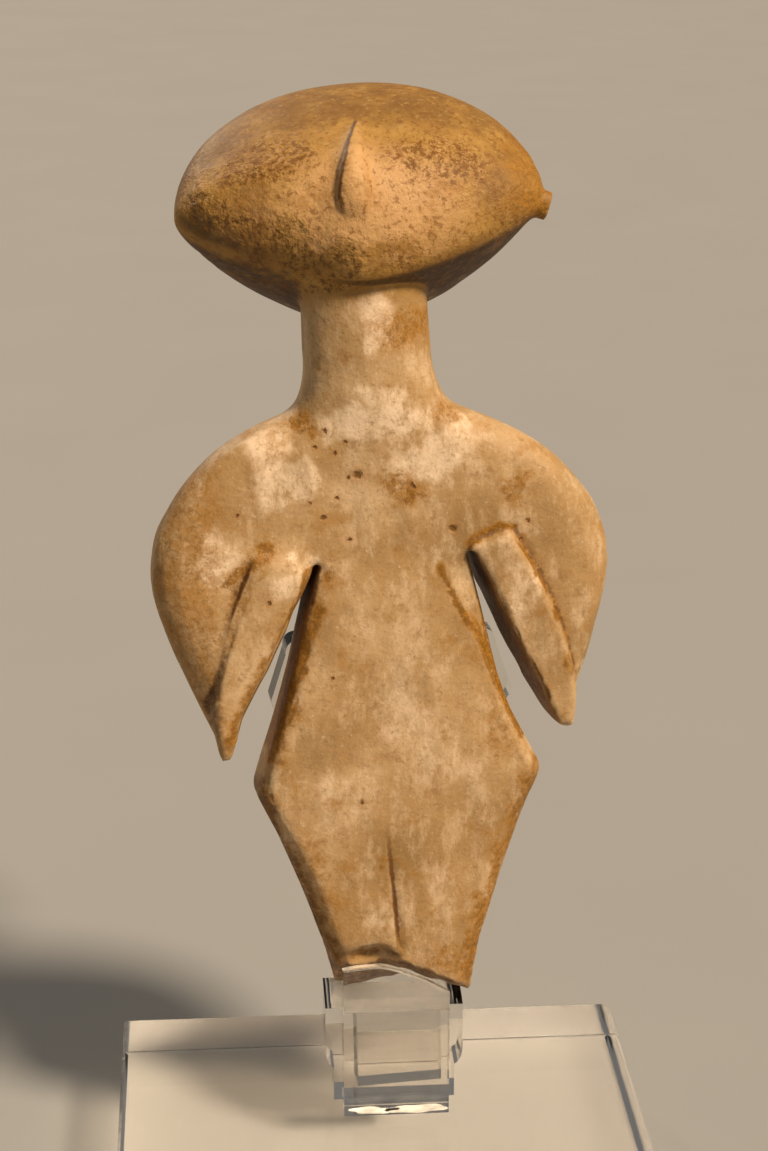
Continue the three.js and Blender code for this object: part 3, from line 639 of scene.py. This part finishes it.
# hairlines 4 mm long and a quarter of a mm apart, dust in clouds 2 mm across, waves of 9 mm
lengthwise = add(
    tree, "ShaderNodeMapping", {"Scale": (0.2, 3.2, 3.2), "Rotation": (0, 0, 0.5)}, Vector=place
)
hairlines = add(tree, "ShaderNodeTexNoise", {"Scale": 1.2, "Detail": 2}, Vector=lengthwise)
hairlines = add(
    tree, "ShaderNodeMapRange", {"From Min": 0.6, "From Max": 0.72, "To Max": 0.05}, Value=hairlines
)
dust = add(tree, "ShaderNodeTexNoise", {"Scale": 0.45, "Detail": 4, "Roughness": 0.7}, Vector=place)
dust = add(
    tree, "ShaderNodeMapRange", {"From Min": 0.55, "From Max": 0.8, "To Min": 0.02, "To Max": 0.10},
    Value=dust,
)
haze = add(tree, "ShaderNodeMath", {"operation": "ADD"}, in_0=hairlines, in_1=dust)
haze = add(tree, "ShaderNodeMath", {"operation": "ADD"}, in_0=haze, in_1=satin)
wave = add(tree, "ShaderNodeTexNoise", {"Scale": 0.11, "Detail": 2}, Vector=place)
wave = add(tree, "ShaderNodeBump", {"Strength": 0.3, "Distance": 0.1 * MM}, Height=wave)
clear = add(
    tree, "ShaderNodeBsdfPrincipled",
    {"IOR": 1.49, "Transmission Weight": 1.0, "Base Color": linear("F7F5F2")},
    Roughness=haze, Normal=wave,
)
# most light goes straight through, so that the pieces throw only a faint shadow
lets_light_by = add(tree, "ShaderNodeBsdfTransparent", {"Color": linear("EFEDEA")})
shadow = add(tree, "ShaderNodeLightPath", {}).node.outputs["Is Shadow Ray"]
shadow = add(tree, "ShaderNodeMath", {"operation": "MULTIPLY", 1: 0.85}, in_0=shadow)
clear = add(tree, "ShaderNodeMixShader", {}, in_0=shadow, in_1=clear, in_2=lets_light_by)
add(tree, "ShaderNodeOutputMaterial", {}, Surface=clear)
for name in ("base_plate", "seat_block", "front_lip", "back_rest"):
    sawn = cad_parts[name]
    sawn.data.materials.clear()
    sawn.data.materials.append(acrylic)
    eased = sawn.modifiers.new("flame_polished_edges", "BEVEL")
    eased.width = EDGE_ROUND
    eased.segments = 3
    eased.limit_method = "ANGLE"
    eased.angle_limit = ROUNDED_FROM
    eased.harden_normals = True

# ------------------------------------------------------------------------------------
# Cement. Clear acrylic cement that holds the lip to the plate, run in thin along the joint.
# It has cured in three milky pools of uneven outline.
# ------------------------------------------------------------------------------------
CEMENT_FROM, CEMENT_TO = PLATE_TOP + 0.1 * MM, PLATE_TOP + 0.4 * MM
# each pool's place along the lip and its half width and half depth, as shares of the lip's own
POOLS = [(0.70, (0.26, 0.40)), (0.26, (0.20, 0.30)), (0.47, (0.06, 0.16))]
RIM_POINTS = 28
lip_low, lip_high = (np.array(corner[:2]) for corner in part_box("front_lip"))
lip_size = lip_high - lip_low
dice = np.random.default_rng(11)
turns = np.arange(RIM_POINTS) * math.tau / RIM_POINTS
corners, faces = [], []
for across, reach in POOLS:
    wobble = 1 + 0.16 * np.sin(2 * turns + dice.uniform(0, 6))
    wobble += 0.12 * np.sin(5 * turns + dice.uniform(0, 6))
    wide, deep = lip_size * reach
    middle = lip_low + lip_size * (across, 0.5)
    rim_x = middle[0] + wide * wobble * np.cos(turns)
    rim_y = middle[1] + deep * wobble * np.sin(turns)
    below = len(corners)
    above = below + RIM_POINTS
    for level in (CEMENT_FROM, CEMENT_TO):
        corners += [(*spot, level) for spot in zip(rim_x, rim_y)]
    faces.append([below + i for i in range(RIM_POINTS)][::-1])
    faces.append([above + i for i in range(RIM_POINTS)])
    for i in range(RIM_POINTS):
        j = (i + 1) % RIM_POINTS
        faces.append([below + i, below + j, above + j, above + i])
cement_mesh = bpy.data.meshes.new("cement")
cement_mesh.from_pydata(corners, [], faces)
cement = put_in_scene("cement_film", cement_mesh)

# Cured acrylic cement: milky and half matt, thicker and whiter in places 1.8 mm across.
milky = bpy.data.materials.new("cured_acrylic_cement")
tree = cleared(milky)
metres = add(tree, "ShaderNodeTexCoord", {}).node.outputs["Object"]
thick = add(tree, "ShaderNodeTexNoise", {"Scale": 1 / (1.8 * MM), "Detail": 4}, Vector=metres)
tone = add(tree, "ShaderNodeValToRGB", {"stops": [(0.35, "A9A49A"), (0.65, "D6D1C8")]}, Fac=thick)
rough = add(tree, "ShaderNodeMapRange", {"To Min": 0.35, "To Max": 0.7}, Value=thick)
bump = add(tree, "ShaderNodeBump", {"Strength": 0.5, "Distance": 0.05 * MM}, Height=thick)
cured = add(tree, "ShaderNodeBsdfPrincipled", {"IOR": 1.49}, Base_Color=tone, Roughness=rough, Normal=bump)
add(tree, "ShaderNodeOutputMaterial", {}, Surface=cured)
cement_mesh.materials.append(milky)
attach(cement, "root")

# ------------------------------------------------------------------------------------
# Room: a plain pale floor, a warm lamp high in front on the right, a fainter one behind on the
# left, and the camera a little above the head, looking down.
# ------------------------------------------------------------------------------------
FLOOR, FLOOR_DROP = 6.0, 0.2 * MM
floor_mesh = bpy.data.meshes.new("floor")
floor_corners = [(x * FLOOR, y * FLOOR, -FLOOR_DROP) for x, y in ((-1, -1), (1, -1), (1, 1), (-1, 1))]
floor_mesh.from_pydata(floor_corners, [], [(0, 1, 2, 3)])
floor = put_in_scene("floor", floor_mesh)

# Matt card, pale, with hardly visible clouds about 55 mm across.
card = bpy.data.materials.new("pale_card")
tree = cleared(card)
metres = add(tree, "ShaderNodeTexCoord", {}).node.outputs["Object"]
cloud = add(tree, "ShaderNodeTexNoise", {"Scale": 18, "Detail": 2}, Vector=metres)
tone = add(tree, "ShaderNodeValToRGB", {"stops": [(0.3, "92908C"), (0.7, "94928D")]}, Fac=cloud)
sheet = add(
    tree, "ShaderNodeBsdfPrincipled", {"Roughness": 0.8, "Specular IOR Level": 0.2}, Base_Color=tone
)
add(tree, "ShaderNodeOutputMaterial", {}, Surface=sheet)
floor_mesh.materials.append(card)

LAMP_WIDTH = math.radians(9)


def lamp(name, stands_at, strength, colour):
    """A lamp like a wide, soft sun: it lights the whole floor evenly from where it stands."""
    data = bpy.data.lights.new(name, "SUN")
    data.angle = LAMP_WIDTH
    data.energy = strength
    data.color = linear(colour)[:3]
    obj = put_in_scene(name, data)
    obj.location = stands_at
    obj.rotation_euler = Vector(stands_at).to_track_quat("Z", "Y").to_euler()


lamp("key", (0.44, -0.36, 0.68), 4.8, "FFEBD2")
lamp("back", (-0.5, 0.9, 0.55), 1.1, "FFF1E0")

# a dim grey room as the light that comes from all round, seen itself in the floor's own tone
room = bpy.data.worlds.new("pale_room")
tree = cleared(room)
walls = add(tree, "ShaderNodeBackground", {"Color": linear("E8E6E2"), "Strength": 0.20})
beyond = add(tree, "ShaderNodeBackground", {"Color": linear("B7A993")})
seen = add(tree, "ShaderNodeLightPath", {}).node.outputs["Is Camera Ray"]
walls = add(tree, "ShaderNodeMixShader", {}, in_0=seen, in_1=walls, in_2=beyond)
add(tree, "ShaderNodeOutputWorld", {}, Surface=walls)
bpy.context.scene.world = room

# the camera stands a third of a metre in front and looks down over the face to the plate
CAMERA_AT = Vector((-0.0226, -0.3249, 0.2198))
CAMERA_PITCH, CAMERA_TURN = math.radians(20), math.radians(4.07)
LENS, SENSOR_HEIGHT = 77.7, 36
camera_data = bpy.data.cameras.new("camera")
camera_data.sensor_fit = "VERTICAL"
camera_data.sensor_height = SENSOR_HEIGHT
camera_data.lens = LENS
camera = put_in_scene("camera", camera_data)
camera.location = CAMERA_AT
camera.rotation_euler = Euler((math.pi / 2 - CAMERA_PITCH, 0, -CAMERA_TURN))
bpy.context.scene.camera = camera
bpy.context.scene.view_settings.view_transform = "Standard"
